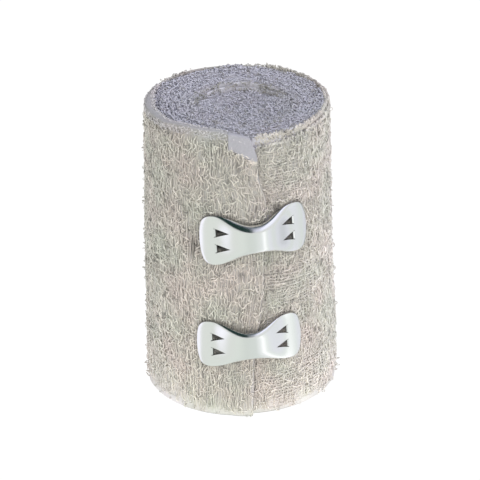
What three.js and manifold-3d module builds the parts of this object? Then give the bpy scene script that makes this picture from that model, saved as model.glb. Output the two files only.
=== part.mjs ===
// Crepe bandage roll: one strip of crepe wound up on itself and stood on end, with its loose end
// held down by two stamped metal clips. Millimetres, +Z up, the clips face -Y, and the origin is
// the middle of the lower end, which stands on the table.

import * as THREE from "three";
import { mergeVertices } from "three/addons/utils/BufferGeometryUtils.js";
import Module from "manifold-3d";

const wasm = await Module();
wasm.setup();

const { degToRad, lerp, smoothstep } = THREE.MathUtils;

// Driving dimensions of the roll
const STRIP_WIDTH = 75; // width of the strip, which is the height of the roll
const FOOT_RADIUS = 24.4; // wound radius at the lower end
const HEAD_RADIUS = 22.95; // wound radius at the upper end, which is wound a little tighter
const LAYER = 0.9; // one thickness of crepe as wound
const MAIN_TURNS = 7; // ridges of the inner winding, each a few layers that lie tight together
const OUTER_TURNS = 2; // outermost layers, which show one by one
const CORE_RADIUS = 1.3; // half-thickness of the first fold in the middle
const CORE_SHIFT = 2; // the winding's heart lies this far to the right of the roll's axis
const CORE_FLATNESS = 0.55; // how flat the first turns are pressed, front to back
const CORE_FLAT_REACH = 10; // turns past this radius are round
const END_AZIMUTH = degToRad(11); // where the loose end lies, to the right of the front
const HEM_WIDTH = 4; // the loose end is turned under by this much
const HEM_RISE = 0.4; // and stands proud by this much
const RIM_ROUND = 0.6; // how far the selvedge is rounded over
const CREST_SHARE = 0.5; // share of a ridge's width that is flat at its crest
const RIDGE_DEPTH = 0.35; // depth of the furrow beside a ridge, as a share of the ridge's width
const HEART_DEPTH = 1; // how far the very middle is sunk in the upper end

// Driving dimensions of a clip
const CLIP_LENGTH = 27.6;
const LOBE_WIDTH = 13.2; // across each end of the clip
const WAIST_WIDTH = 7.4;
const CLIP_THICKNESS = 0.4;
const LOBE_CORNER = 2.7; // rounding of a lobe's outer corners
const LOBE_BOW = 0.5; // how far the clip's two end edges bow outwards
const FLANGE_DEPTH = 1.2; // how far the waist's edges are rolled down towards the cloth
const CLEARANCE = 0.3; // between any two pieces
const TOOTH_LENGTH = 3.4;
const TOOTH_WIDTH = 2.1; // at its root
const TOOTH_INSET = 3.3; // from the clip's end to a tooth's root
const TOOTH_SPACING = 4.3; // between the two teeth of a lobe
const TOOTH_BEND = degToRad(42); // teeth are bent this far into the cloth
const KERF = 0.12; // gap that the punch leaves round a tooth
const ROOT_OVERLAP = 0.25; // a tooth's root runs this far into the plate

// Fineness of the meshes
const COLUMNS = 48; // steps in one turn of the winding
const CROWDING = 0.45; // how much closer the steps lie at the loose end than at the back
const WALL_ROWS = 12;
const CLIP_STEPS = 36;
const CLIP_LANES = 6;

const TURNS = MAIN_TURNS + OUTER_TURNS;
const LAST_COLUMN = TURNS * COLUMNS;
const MEAN_RADIUS = (FOOT_RADIUS + HEAD_RADIUS) / 2;
const MAIN_PITCH = (MEAN_RADIUS - CORE_RADIUS - OUTER_TURNS * LAYER) / MAIN_TURNS;
const FULL_TURN = 2 * Math.PI;
const CREPE = { color: 0xbfbab1, roughness: 0.95, metalness: 0 };
const BRIGHT_SHEET = { color: 0xdde2e0, roughness: 0.28, metalness: 1 };

// Height of the strip's upper selvedge over the roll's nominal height, against turns before the end.
// The layer under the loose end has slipped down at the front right, and the heart lies in a hollow.
const HEAD_LIFT = [
  { before: 0.0, lift: 0.0 },
  { before: 0.06, lift: 0.1 },
  { before: 0.3, lift: 0.7 },
  { before: 0.55, lift: 0.3 },
  { before: 0.7, lift: 0.0 },
  { before: 0.83, lift: -1.1 },
  { before: 0.93, lift: -2.0 },
  { before: 1.0, lift: -2.8 },
  { before: 1.12, lift: -1.2 },
  { before: 1.4, lift: -0.2 },
  { before: 4.4, lift: -0.3 },
  { before: 5.2, lift: -2.0 },
  { before: 7.4, lift: -2.4 },
  { before: 9.0, lift: -3.2 },
];

// The upper corner of the loose end is folded down aslant, against distance from the end.
const END_CORNER = [
  { fromEnd: 0.0, drop: 5.4 },
  { fromEnd: 1.2, drop: 3.0 },
  { fromEnd: 2.6, drop: 0.7 },
  { fromEnd: 7.0, drop: 0.0 },
];

// The loose end's edge isn't upright: how far it lies to the right at each height.
const END_EDGE = [
  { height: 0, right: -2.2 },
  { height: 10, right: -1.8 },
  { height: 36, right: 1.0 },
  { height: 57, right: 2.0 },
  { height: 65, right: 0.2 },
  { height: 75, right: 0.0 },
];
const END_EDGE_SPREAD = degToRad(60); // the cloth on both sides follows the edge over this angle

// Broad soft swells of the wound wall
const SWELLS = [
  { size: 0.16, around: 2, along: 1.1, phase: 0.6 },
  { size: 0.12, around: 3, along: 2.3, phase: 2.4 },
];

// Stand-off of a clip's middle plane from the cloth, along half its length: the lobes lie flat
// on the cloth and the bridge between them is bowed out.
const CLIP_PROFILE = [
  { share: 0.0, standOff: 3.0 },
  { share: 0.25, standOff: 2.7 },
  { share: 0.55, standOff: 1.1 },
  { share: 0.72, standOff: 0.62 },
  { share: 1.0, standOff: 0.82 },
];

// Half-width of a clip along half its length, as a share of the way from waist to lobe.
const CLIP_OUTLINE = [
  { share: 0.0, lobe: 0.0 },
  { share: 0.18, lobe: 0.05 },
  { share: 0.45, lobe: 0.55 },
  { share: 0.68, lobe: 1.0 },
  { share: 1.0, lobe: 1.0 },
];

const CLIPS = [
  { name: "clip_upper", height: 48.0, azimuth: 9.2, tilt: 3.5, size: 1.0 },
  { name: "clip_lower", height: 19.6, azimuth: 4.5, tilt: 2.0, size: 0.94 },
];

// Reads a table by one of its columns, easing from row to row.
function readTable(rows, key, value, at) {
  const next = rows.findIndex((row) => at <= row[key]);
  if (next === 0) return rows[0][value];
  if (next < 0) return rows[rows.length - 1][value];
  const [low, high] = [rows[next - 1], rows[next]];
  return lerp(low[value], high[value], smoothstep(at, low[key], high[key]));
}

// Makes a manifold solid of any closed three.js geometry.
function toSolid(geometry) {
  const bare = geometry.clone();
  bare.deleteAttribute("normal");
  bare.deleteAttribute("uv");
  const merged = mergeVertices(bare, 1e-4);
  return new wasm.Manifold(
    new wasm.Mesh({
      numProp: 3,
      vertProperties: new Float32Array(merged.getAttribute("position").array),
      triVerts: new Uint32Array(merged.getIndex().array),
    }),
  );
}

// Makes a three.js geometry of a manifold solid.
function toGeometry(solid) {
  const { vertProperties, triVerts } = solid.getMesh();
  const geometry = new THREE.BufferGeometry();
  geometry.setAttribute("position", new THREE.BufferAttribute(vertProperties, 3));
  geometry.setIndex(new THREE.BufferAttribute(triVerts, 1));
  geometry.computeVertexNormals();
  return geometry;
}

function namedMesh(name, solid, finish) {
  const mesh = new THREE.Mesh(toGeometry(solid), new THREE.MeshStandardMaterial(finish));
  mesh.name = name;
  return mesh;
}

// The winding. A place on the strip is given in turns, counted from its start in the heart.

// Turns at a column, with the columns crowded towards the loose end's side of the roll.
function turnsAt(column) {
  const share = column / COLUMNS;
  return share - (CROWDING * Math.sin(FULL_TURN * share)) / FULL_TURN;
}

// Radius of the strip's outer face, halfway up the roll.
function reachAt(turns) {
  const main = CORE_RADIUS + MAIN_PITCH * Math.min(turns, MAIN_TURNS);
  return main + LAYER * Math.max(turns - MAIN_TURNS, 0);
}

// Azimuth of a place on the strip: 0 is the front, and it grows to the right.
function azimuthAt(turns) {
  return END_AZIMUTH + FULL_TURN * (turns - TURNS);
}

function taperAt(height) {
  return lerp(FOOT_RADIUS, HEAD_RADIUS, height / STRIP_WIDTH) / MEAN_RADIUS;
}

// How far the loose end's slant carries a place on the last turns to the right.
function slantAt(turns, height) {
  const fromEdge = FULL_TURN * Math.min(TURNS - turns, Math.abs(TURNS - 1 - turns));
  const follow = 1 - smoothstep(fromEdge, 0, END_EDGE_SPREAD);
  return readTable(END_EDGE, "height", "right", height) * follow;
}

// A point of the winding, with the heart pressed flat and set to one side.
function windingPoint(radius, turns, height) {
  const azimuth = azimuthAt(turns) + slantAt(turns, height) / MEAN_RADIUS;
  const heart = 1 - smoothstep(radius, CORE_RADIUS, CORE_FLAT_REACH);
  const shift = CORE_SHIFT * (1 - smoothstep(radius, CORE_RADIUS, MEAN_RADIUS));
  const wide = radius * taperAt(height);
  const deep = wide * lerp(1, CORE_FLATNESS, heart);
  return new THREE.Vector3(shift + wide * Math.sin(azimuth), -deep * Math.cos(azimuth), height);
}

function headHeight(turns) {
  const before = TURNS - turns;
  const fromEnd = before * FULL_TURN * MEAN_RADIUS;
  const drop = readTable(END_CORNER, "fromEnd", "drop", fromEnd);
  return STRIP_WIDTH + readTable(HEAD_LIFT, "before", "lift", before) - drop;
}

// Every turn's lower selvedge stands on the table.
function footHeight() {
  return 0;
}

// How far the wound wall swells out or in.
function swellAt(azimuth, height) {
  const along = (height / STRIP_WIDTH) * Math.PI;
  const wave = (s) => s.size * Math.sin(s.around * azimuth + s.along * along + s.phase);
  return SWELLS.reduce((sum, swell) => sum + wave(swell), 0);
}

// Rise of the turned-under hem at the loose end.
function hemAt(turns) {
  const fromEnd = (TURNS - turns) * FULL_TURN * MEAN_RADIUS;
  return HEM_RISE * (1 - smoothstep(fromEnd, HEM_WIDTH * 0.75, HEM_WIDTH * 1.5));
}

// A point on the wall, which is the last turn's outer face.
function wallPoint(turns, height) {
  const swell = swellAt(azimuthAt(turns), height);
  return windingPoint(reachAt(turns) + swell + hemAt(turns), turns, height);
}

// One end face of the roll: a spiral of ridges round a heart, which may be sunk.
// It returns the points of its outer rim.
function addEndFace(mesh, heightAt, outward, heartDepth) {
  const heartHeight = heightAt(0) - outward * heartDepth;
  const heart = mesh.point(new THREE.Vector3(CORE_SHIFT, 0, heartHeight));
  const face = (a, b, c, d) => (outward > 0 ? mesh.quad(a, b, c, d) : mesh.quad(a, d, c, b));
  const inner = [];
  const outer = [];
  const furrow = [];

  for (let column = 0; column <= LAST_COLUMN; column++) {
    const turns = turnsAt(column);
    const height = heightAt(turns);
    const inside = turns > 1 ? reachAt(turns - 1) : 0;
    const width = reachAt(turns) - inside;
    const slope = (width * (1 - CREST_SHARE)) / 2;
    const onWall = column >= LAST_COLUMN - COLUMNS;
    const depth = onWall ? RIM_ROUND : width * RIDGE_DEPTH;
    const furrowHeight = height - outward * depth;
    inner.push(mesh.point(windingPoint(inside + slope, turns, height)));
    outer.push(mesh.point(windingPoint(inside + width - slope, turns, height)));
    const edge = onWall
      ? wallPoint(turns, furrowHeight)
      : windingPoint(inside + width, turns, furrowHeight);
    furrow.push(mesh.point(edge));
  }

  const within = (column) => (column < COLUMNS ? heart : furrow[column - COLUMNS]);
  for (let column = 0; column < LAST_COLUMN; column++) {
    const next = column + 1;
    face(within(column), inner[column], inner[next], within(next));
    face(inner[column], outer[column], outer[next], inner[next]);
    face(outer[column], furrow[column], furrow[next], outer[next]);
  }
  // The strip's start in the heart, and its loose end, are upright edges.
  const last = LAST_COLUMN;
  face(heart, furrow[0], outer[0], inner[0]);
  face(furrow[last], furrow[last - COLUMNS], inner[last], outer[last]);
  return furrow.slice(last - COLUMNS);
}

// The outer wall between the two rims, and the strip's end edge where the winding steps down.
function addWall(mesh, headRim, footRim) {
  const rings = headRim.map((top, step) => {
    const turns = turnsAt(LAST_COLUMN - COLUMNS + step);
    const topHeight = mesh.heightOf(top);
    const bottomHeight = mesh.heightOf(footRim[step]);
    const ring = [top];
    for (let row = 1; row < WALL_ROWS; row++) {
      const height = lerp(topHeight, bottomHeight, row / WALL_ROWS);
      ring.push(mesh.point(wallPoint(turns, height)));
    }
    return [...ring, footRim[step]];
  });
  const join = (left, right) => {
    for (let row = 0; row < WALL_ROWS; row++) {
      mesh.quad(left[row], left[row + 1], right[row + 1], right[row]);
    }
  };
  rings.slice(1).forEach((ring, step) => join(rings[step], ring));
  join(rings[COLUMNS], rings[0]);
}

// Collects points and faces of one closed surface.
class SurfaceBuilder {
  constructor() {
    this.points = [];
    this.faces = [];
  }
  point(place) {
    return this.points.push(place) - 1;
  }
  heightOf(index) {
    return this.points[index].z;
  }
  quad(a, b, c, d) {
    if (a !== b) this.faces.push(a, b, c);
    if (a !== d && c !== d) this.faces.push(a, c, d);
  }
  geometry() {
    return new THREE.BufferGeometry().setFromPoints(this.points).setIndex(this.faces);
  }
}

function woundRoll() {
  const mesh = new SurfaceBuilder();
  const headRim = addEndFace(mesh, headHeight, 1, HEART_DEPTH);
  const footRim = addEndFace(mesh, footHeight, -1, 0);
  addWall(mesh, headRim, footRim);
  return toSolid(mesh.geometry());
}

// The clips. A place on a clip is given flat: along its length, across it and out from its middle plane.

// Radius of the visible wall at an azimuth, on whichever turn shows there.
function wallRadius(azimuth, height) {
  const turns = TURNS + (azimuth - END_AZIMUTH) / FULL_TURN;
  const { x, y } = wallPoint(turns > TURNS ? turns - 1 : turns, height);
  return Math.hypot(x, y);
}

function clipPlacer({ height, azimuth, tilt, size }) {
  const centre = degToRad(azimuth);
  const [sine, cosine] = [Math.sin(degToRad(tilt)), Math.cos(degToRad(tilt))];
  const lobe = (CLIP_LENGTH * size * 0.36) / MEAN_RADIUS;
  const radiusAtLobe = (side) => wallRadius(centre + side * lobe, height + side * lobe * sine);
  const [leftRadius, rightRadius] = [radiusAtLobe(-1), radiusAtLobe(1)];

  return (along, across, out) => {
    const share = Math.abs(along) / (CLIP_LENGTH / 2);
    const seat = lerp(leftRadius, rightRadius, smoothstep(along, -CLIP_LENGTH / 3, CLIP_LENGTH / 3));
    const angle = centre + (size * (along * cosine - across * sine)) / MEAN_RADIUS;
    const up = height + size * (along * sine + across * cosine);
    const lean = taperAt(up) / taperAt(height);
    const radius = seat * lean + readTable(CLIP_PROFILE, "share", "standOff", share) + out;
    return new THREE.Vector3(radius * Math.sin(angle), -radius * Math.cos(angle), up);
  };
}

function clipHalfWidth(along) {
  const share = Math.abs(along) / (CLIP_LENGTH / 2);
  const lobe = readTable(CLIP_OUTLINE, "share", "lobe", share);
  const fromEnd = Math.min(CLIP_LENGTH / 2 - Math.abs(along), LOBE_CORNER);
  const corner = LOBE_CORNER - Math.sqrt(LOBE_CORNER ** 2 - (LOBE_CORNER - fromEnd) ** 2);
  return lerp(WAIST_WIDTH, LOBE_WIDTH, lobe) / 2 - corner;
}

// The bent plate of a clip, from a box whose points are carried to their places.
function clipPlate(place) {
  const box = new THREE.BoxGeometry(1, 1, 1, CLIP_STEPS, CLIP_LANES, 1);
  const position = box.getAttribute("position");
  for (let i = 0; i < position.count; i++) {
    const along = (CLIP_LENGTH / 2) * Math.sin(Math.PI * position.getX(i));
    const lane = 2 * position.getY(i);
    const spread = Math.sign(lane) * (1 - (1 - Math.abs(lane)) ** 1.5);
    const endness = smoothstep(Math.abs(along), CLIP_LENGTH * 0.42, CLIP_LENGTH * 0.5);
    const bow = Math.sign(along) * LOBE_BOW * endness * (1 - spread ** 2);
    const waist = 1 - smoothstep(Math.abs(along), CLIP_LENGTH * 0.06, CLIP_LENGTH * 0.3);
    const roll = FLANGE_DEPTH * waist * smoothstep(Math.abs(spread), 0.5, 1);
    const out = CLIP_THICKNESS * position.getZ(i) - roll;
    const at = place(along + bow, spread * clipHalfWidth(along), out);
    position.setXYZ(i, at.x, at.y, at.z);
  }
  return toSolid(box);
}

// Frame of a tooth at its root: x towards its tip, y across it and z out of the plate.
function toothFrame(place, { side, across }) {
  const along = side * (CLIP_LENGTH / 2 - TOOTH_INSET);
  const step = 0.2;
  const tipward = place(along - side * step, across, 0).sub(place(along + side * step, across, 0));
  const sideways = place(along, across + step, 0).sub(place(along, across - step, 0));
  const outward = new THREE.Vector3().crossVectors(tipward, sideways).multiplyScalar(-side);
  const x = tipward.normalize();
  const z = outward.normalize();
  const y = new THREE.Vector3().crossVectors(z, x);
  return new THREE.Matrix4().makeBasis(x, y, z).setPosition(place(along, across, 0));
}

// A pointed blank, grown on every side, with its root behind the origin by so much.
function toothBlank(grow, rootBehind, thickness) {
  const half = TOOTH_WIDTH / 2 + grow;
  const outline = new THREE.Shape();
  outline.moveTo(-rootBehind, -half);
  outline.lineTo(TOOTH_LENGTH + 2 * grow, 0);
  outline.lineTo(-rootBehind, half);
  const blank = new THREE.ExtrudeGeometry(outline, { depth: thickness, bevelEnabled: false });
  return blank.translate(0, 0, -thickness / 2);
}

const TEETH = [-1, 1].flatMap((side) =>
  [-1, 1].map((row) => ({ side, across: (row * TOOTH_SPACING) / 2 })),
);

// Places a tooth's blank, bent down about its root.
function bentTooth(place, tooth, grow, rootBehind) {
  const bent = toothBlank(grow, rootBehind, CLIP_THICKNESS * 0.9 + 2 * grow).rotateY(TOOTH_BEND);
  return toSolid(bent.applyMatrix4(toothFrame(place, tooth)));
}

function clip(place) {
  return TEETH.reduce((plate, tooth) => {
    const punch = toothBlank(KERF, 0, CLIP_THICKNESS * 6).applyMatrix4(toothFrame(place, tooth));
    return plate.subtract(toSolid(punch)).add(bentTooth(place, tooth, 0, ROOT_OVERLAP));
  }, clipPlate(place));
}

// The cloth parts round each tooth that pierces it.
function pierced(roll, place) {
  const widened = (tooth) => bentTooth(place, tooth, CLEARANCE, CLEARANCE + ROOT_OVERLAP);
  return TEETH.reduce((cloth, tooth) => cloth.subtract(widened(tooth)), roll);
}

const bandageRoll = new THREE.Group();
const placers = CLIPS.map(clipPlacer);
const cloth = placers.reduce(pierced, woundRoll());
bandageRoll.add(namedMesh("crepe_roll", cloth, CREPE));
CLIPS.forEach(({ name }, i) => bandageRoll.add(namedMesh(name, clip(placers[i]), BRIGHT_SHEET)));

export default bandageRoll;
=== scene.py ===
# %% [markdown]
# # A roll of crepe bandage
# The object is one long strip of soft cotton crepe, wound up on itself and stood on end. Two bright
# stamped clips hold its loose end down at the front.
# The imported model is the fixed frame. Everything here is made in its coordinates: metres, +Z up, the
# front towards -Y. The sizes below are written in millimetres and turned into metres at the end.

# %% Load the frame
import math

import bpy
import numpy as np
from mathutils import Matrix, Vector


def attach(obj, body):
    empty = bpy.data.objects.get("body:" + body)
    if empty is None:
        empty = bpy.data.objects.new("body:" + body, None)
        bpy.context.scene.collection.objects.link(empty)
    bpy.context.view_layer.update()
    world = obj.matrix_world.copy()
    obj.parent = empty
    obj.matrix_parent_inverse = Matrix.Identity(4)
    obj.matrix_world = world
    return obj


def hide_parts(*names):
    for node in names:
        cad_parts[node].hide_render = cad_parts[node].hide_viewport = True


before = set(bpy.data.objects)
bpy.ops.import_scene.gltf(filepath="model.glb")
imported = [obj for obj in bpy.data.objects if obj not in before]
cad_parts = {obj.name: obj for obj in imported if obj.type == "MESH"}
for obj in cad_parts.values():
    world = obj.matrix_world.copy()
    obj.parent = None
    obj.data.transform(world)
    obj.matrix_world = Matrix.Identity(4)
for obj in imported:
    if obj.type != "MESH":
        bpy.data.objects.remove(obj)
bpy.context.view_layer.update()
MM = 0.001
bpy.ops.object.select_all(action="DESELECT")
print("nodes", sorted(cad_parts))

# %% [markdown]
# ## The camera
# A product photographer stands well back with a long lens, so the roll's sides stay nearly parallel.
# The distance, lens and height here were fitted to the outline of the roll. The picture leans by about
# a degree, so the camera is turned by the same amount about its own line of sight.

# %% Place the camera
VIEW_DISTANCE = 1000.0
VIEW_HEIGHT = 37.5
VIEW_ELEVATION = math.radians(25.81)
VIEW_ROLL = math.radians(-1.18)
VIEW_LENS = 301.0
VIEW_SHIFT = (0.1 / 480, -2.6 / 480)


def add_camera():
    bpy.ops.object.camera_add()
    camera = bpy.context.object
    camera.name = "photo_camera"
    back = VIEW_DISTANCE * math.cos(VIEW_ELEVATION)
    up = VIEW_HEIGHT + VIEW_DISTANCE * math.sin(VIEW_ELEVATION)
    place = Matrix.Translation((0, -back * MM, up * MM))
    tilt = Matrix.Rotation(math.pi / 2 - VIEW_ELEVATION, 4, "X")
    camera.matrix_world = place @ tilt @ Matrix.Rotation(VIEW_ROLL, 4, "Z")
    camera.data.lens = VIEW_LENS
    camera.data.sensor_width = 36
    camera.data.shift_x, camera.data.shift_y = VIEW_SHIFT
    camera.data.clip_start = 0.05
    bpy.context.scene.camera = camera
    return camera


camera = add_camera()
print("camera at", [round(v, 3) for v in camera.location])

# %% [markdown]
# ## Floor and light
# The roll stands in a white studio: white floor, white walls, a bluish ceiling and a dark gap at the
# upper left. The ceiling is why the upper end looks lilac grey while the side is warm and pale, and the
# gap is what the rolled edges of the clips mirror. A sky that changes with direction does all of this
# at once. The floor's light is uneven too, because the plates of the clips mirror the floor. The camera
# itself sees plain white.

# %% Make the studio
SKY = (
    # sine of the height over the horizon, colour
    (0.00, (0.79, 0.80, 0.76, 1)),
    (0.30, (0.84, 0.85, 0.88, 1)),
    (0.65, (1.08, 1.08, 1.26, 1)),
    (1.00, (1.30, 1.30, 1.56, 1)),
)
GAP_COLOUR = (0.012, 0.035, 0.03, 1)
GAP_HEIGHT = (0.12, 0.32)
GAP_RIGHT = (0.44, 0.10)
PLAIN_COLOUR = (1, 1, 1, 1)
PLAIN_STRENGTH = 1.05


def eased_range(nodes, links, value, ends):
    """A node that rises smoothly from 0 at the first of the ends to 1 at the second."""
    share = nodes.new("ShaderNodeMapRange")
    share.interpolation_type = "SMOOTHSTEP"
    share.inputs["From Min"].default_value = ends[0]
    share.inputs["From Max"].default_value = ends[1]
    links.new(value, share.inputs["Value"])
    return share.outputs["Result"]


def fill_ramp(ramp, rows):
    stops = ramp.color_ramp.elements
    stops[0].position, stops[0].color = rows[0]
    stops[1].position, stops[1].color = rows[-1]
    for position, colour in rows[1:-1]:
        stops.new(position).color = colour


def plain_to_camera(nodes, links, light, kind):
    """Mixes in a plain white shader of the same kind that the camera alone sees."""
    plain = nodes.new(kind)
    plain.inputs["Color"].default_value = PLAIN_COLOUR
    plain.inputs["Strength"].default_value = PLAIN_STRENGTH
    ray = nodes.new("ShaderNodeLightPath")
    seen = nodes.new("ShaderNodeMixShader")
    links.new(ray.outputs["Is Camera Ray"], seen.inputs["Fac"])
    links.new(light.outputs[0], seen.inputs[1])
    links.new(plain.outputs[0], seen.inputs[2])
    return seen.outputs[0]


def make_studio():
    world = bpy.data.worlds.new("white_studio")
    bpy.context.scene.world = world
    world.use_nodes = True
    nodes = world.node_tree.nodes
    links = world.node_tree.links
    nodes.clear()
    direction = nodes.new("ShaderNodeTexCoord")
    split = nodes.new("ShaderNodeSeparateXYZ")
    links.new(direction.outputs["Generated"], split.inputs[0])
    ramp = nodes.new("ShaderNodeValToRGB")
    ramp.color_ramp.interpolation = "EASE"
    fill_ramp(ramp, SKY)
    links.new(split.outputs["Z"], ramp.inputs[0])
    gap = nodes.new("ShaderNodeMath")
    gap.operation = "MULTIPLY"
    links.new(eased_range(nodes, links, split.outputs["Z"], GAP_HEIGHT), gap.inputs[0])
    links.new(eased_range(nodes, links, split.outputs["X"], GAP_RIGHT), gap.inputs[1])
    sky = nodes.new("ShaderNodeMix")
    sky.data_type = "RGBA"
    sky.inputs["B"].default_value = GAP_COLOUR
    links.new(gap.outputs[0], sky.inputs["Factor"])
    links.new(ramp.outputs["Color"], sky.inputs["A"])
    light = nodes.new("ShaderNodeBackground")
    links.new(sky.outputs["Result"], light.inputs["Color"])
    output = nodes.new("ShaderNodeOutputWorld")
    links.new(plain_to_camera(nodes, links, light, "ShaderNodeBackground"), output.inputs["Surface"])
    bpy.context.scene.view_settings.view_transform = "Standard"


make_studio()

# %% Lay the floor and hang the lamps
FLOOR_GLOW = (
    # degrees to the right of the front, colour of the floor's light
    (-180, (0.86, 0.85, 0.81, 1)),
    (-110, (0.78, 0.77, 0.76, 1)),
    (-75, (0.90, 0.89, 0.92, 1)),
    (-52, (1.10, 1.08, 1.18, 1)),
    (-40, (1.16, 1.14, 1.24, 1)),
    (-35, (0.80, 0.82, 0.78, 1)),
    (-20, (0.82, 0.86, 0.81, 1)),
    (0, (0.74, 0.78, 0.74, 1)),
    (20, (0.76, 0.80, 0.77, 1)),
    (34, (0.96, 0.98, 0.98, 1)),
    (41, (1.30, 1.30, 1.30, 1)),
    (49, (0.88, 0.92, 0.89, 1)),
    (58, (0.88, 0.88, 0.95, 1)),
    (69, (0.79, 0.83, 0.79, 1)),
    (77, (0.84, 0.84, 0.92, 1)),
    (88, (0.44, 0.48, 0.45, 1)),
    (130, (0.46, 0.49, 0.46, 1)),
    (180, (0.86, 0.85, 0.81, 1)),
)
LAMPS = (
    # name, place in metres, width, power in watts, colour
    ("key_lamp", (0.16, -1.2, 0.30), 0.8, 5.3, (1.0, 0.96, 0.89)),
    ("fill_lamp", (-0.9, -0.8, 0.35), 0.8, 2.3, (0.97, 0.99, 0.92)),
    ("top_lamp", (0.0, -0.2, 1.30), 1.3, 8.6, (0.93, 0.94, 1.0)),
)


def add_floor():
    bpy.ops.mesh.primitive_plane_add(size=6)
    floor = bpy.context.object
    floor.name = "studio_floor"
    paint = bpy.data.materials.new("white_floor")
    paint.use_nodes = True
    nodes, links = paint.node_tree.nodes, paint.node_tree.links
    nodes.clear()
    place = nodes.new("ShaderNodeTexCoord")
    split = nodes.new("ShaderNodeSeparateXYZ")
    links.new(place.outputs["Object"], split.inputs[0])
    ahead = nodes.new("ShaderNodeMath")
    ahead.operation = "MULTIPLY"
    ahead.inputs[1].default_value = -1.0
    links.new(split.outputs["Y"], ahead.inputs[0])
    turn = nodes.new("ShaderNodeMath")
    turn.operation = "ARCTAN2"
    links.new(split.outputs["X"], turn.inputs[0])
    links.new(ahead.outputs[0], turn.inputs[1])
    share = nodes.new("ShaderNodeMapRange")
    share.inputs["From Min"].default_value = -math.pi
    share.inputs["From Max"].default_value = math.pi
    links.new(turn.outputs[0], share.inputs["Value"])
    ramp = nodes.new("ShaderNodeValToRGB")
    fill_ramp(ramp, [(0.5 + degrees / 360, colour) for degrees, colour in FLOOR_GLOW])
    links.new(share.outputs["Result"], ramp.inputs[0])
    glow = nodes.new("ShaderNodeEmission")
    links.new(ramp.outputs["Color"], glow.inputs["Color"])
    output = nodes.new("ShaderNodeOutputMaterial")
    links.new(plain_to_camera(nodes, links, glow, "ShaderNodeEmission"), output.inputs["Surface"])
    floor.data.materials.append(paint)


def add_lamp(name, place, width, power, colour):
    bpy.ops.object.light_add(type="AREA", location=place)
    lamp = bpy.context.object
    lamp.name = name
    lamp.data.size = width
    lamp.data.energy = power
    lamp.data.color = colour
    lamp.visible_glossy = False
    aim = Vector((0, 0, VIEW_HEIGHT * MM)) - lamp.location
    lamp.rotation_euler = aim.to_track_quat("-Z", "Y").to_euler()


add_floor()
for row in LAMPS:
    add_lamp(*row)
print("lamps", [row[0] for row in LAMPS])

# %% [markdown]
# ## The winding
# A wound strip is a spiral. A place on it is given by the turns wound so far, and by its height. The
# radius grows by one layer a turn, the first turns are pressed flat and lie a little to the right, and
# the roll is wound tighter at its head than at its foot. All cloth pieces are placed by these few
# functions, which take whole arrays of places at once.

# %% Spiral of the strip
STRIP_WIDTH = 75.0
FOOT_RADIUS = 24.4
HEAD_RADIUS = 22.95
MEAN_RADIUS = (FOOT_RADIUS + HEAD_RADIUS) / 2
CORE_RADIUS = 1.3
CORE_SHIFT = 2.0
CORE_FLATNESS = 0.55
CORE_FLAT_REACH = 10.0
OUTER_LAYER = 0.9
OUTER_TURNS = 2
INNER_TURNS = 26
TURNS = INNER_TURNS + OUTER_TURNS
INNER_LAYER = (MEAN_RADIUS - CORE_RADIUS - OUTER_TURNS * OUTER_LAYER) / INNER_TURNS
END_AZIMUTH = math.radians(11)
ROUND = 2 * math.pi * MEAN_RADIUS


def ease(value, low, high):
    share = np.clip((value - low) / (high - low), 0, 1)
    return share * share * (3 - 2 * share)


def read_table(rows, at):
    """Reads a table of (key, value) rows, easing from row to row."""
    keys, values = np.array(rows).T
    at = np.clip(at, keys[0], keys[-1])
    row = np.clip(np.searchsorted(keys, at) - 1, 0, len(keys) - 2)
    return values[row] + (values[row + 1] - values[row]) * ease(at, keys[row], keys[row + 1])


def reach_at(turns):
    inner = CORE_RADIUS + INNER_LAYER * np.minimum(turns, INNER_TURNS)
    return inner + OUTER_LAYER * np.maximum(turns - INNER_TURNS, 0)


def azimuth_at(turns):
    return END_AZIMUTH + 2 * math.pi * (turns - TURNS)


def layer_at(turns):
    return np.where(turns > INNER_TURNS + 0.5, OUTER_LAYER, INNER_LAYER)


print("layers", TURNS, "inner pitch", round(INNER_LAYER, 3), "mm")

# %% Heights of the strip's upper edge
OUTER_LIFT = (
    # turns before the end, lift of the upper edge
    (0.00, 0.0),
    (0.03, 0.5),
    (0.07, 1.5),
    (0.12, 1.8),
    (0.19, 0.9),
    (0.30, 0.6),
    (0.55, 0.3),
    (0.70, 0.0),
    (0.83, -1.1),
    (0.93, -2.0),
    (1.00, -2.8),
    (1.12, -1.2),
    (1.40, -0.2),
)
FRONT_LIFT = (
    # radius, lift of the upper edge at the front
    (1.3, -3.2),
    (8.0, -2.2),
    (17.0, -0.5),
    (22.4, -0.2),
)
BACK_LIFT = (
    # radius, lift of the upper edge at the back
    (1.3, -3.3),
    (11.8, -2.7),
    (13.4, -0.4),
    (22.4, -0.2),
)
END_CORNER = (
    # distance from the end, drop of the folded corner
    (0.0, 5.4),
    (1.2, 3.0),
    (2.6, 0.7),
    (7.0, 0.0),
)


def from_end(turns):
    return (TURNS - turns) * ROUND


def head_at(turns):
    before = TURNS - turns
    outer = read_table(OUTER_LIFT, before) - read_table(END_CORNER, from_end(turns))
    back = ease(-np.cos(azimuth_at(turns) - 0.2), 0.1, 0.8)
    front = read_table(FRONT_LIFT, reach_at(turns))
    inner = front + (read_table(BACK_LIFT, reach_at(turns)) - front) * back
    return STRIP_WIDTH + np.where(before < 1.4, outer, inner)


print("head height at the end", round(float(head_at(np.array(TURNS))), 2), "mm")

# %% [markdown]
# ## Unevenness
# Crepe is never even. Smooth random patches of any size come from a small lattice of random numbers
# that is eased between its points. Each use has a seed of its own, so each run gives the same roll.

# %% Smooth random patches
LATTICE = 97


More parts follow.
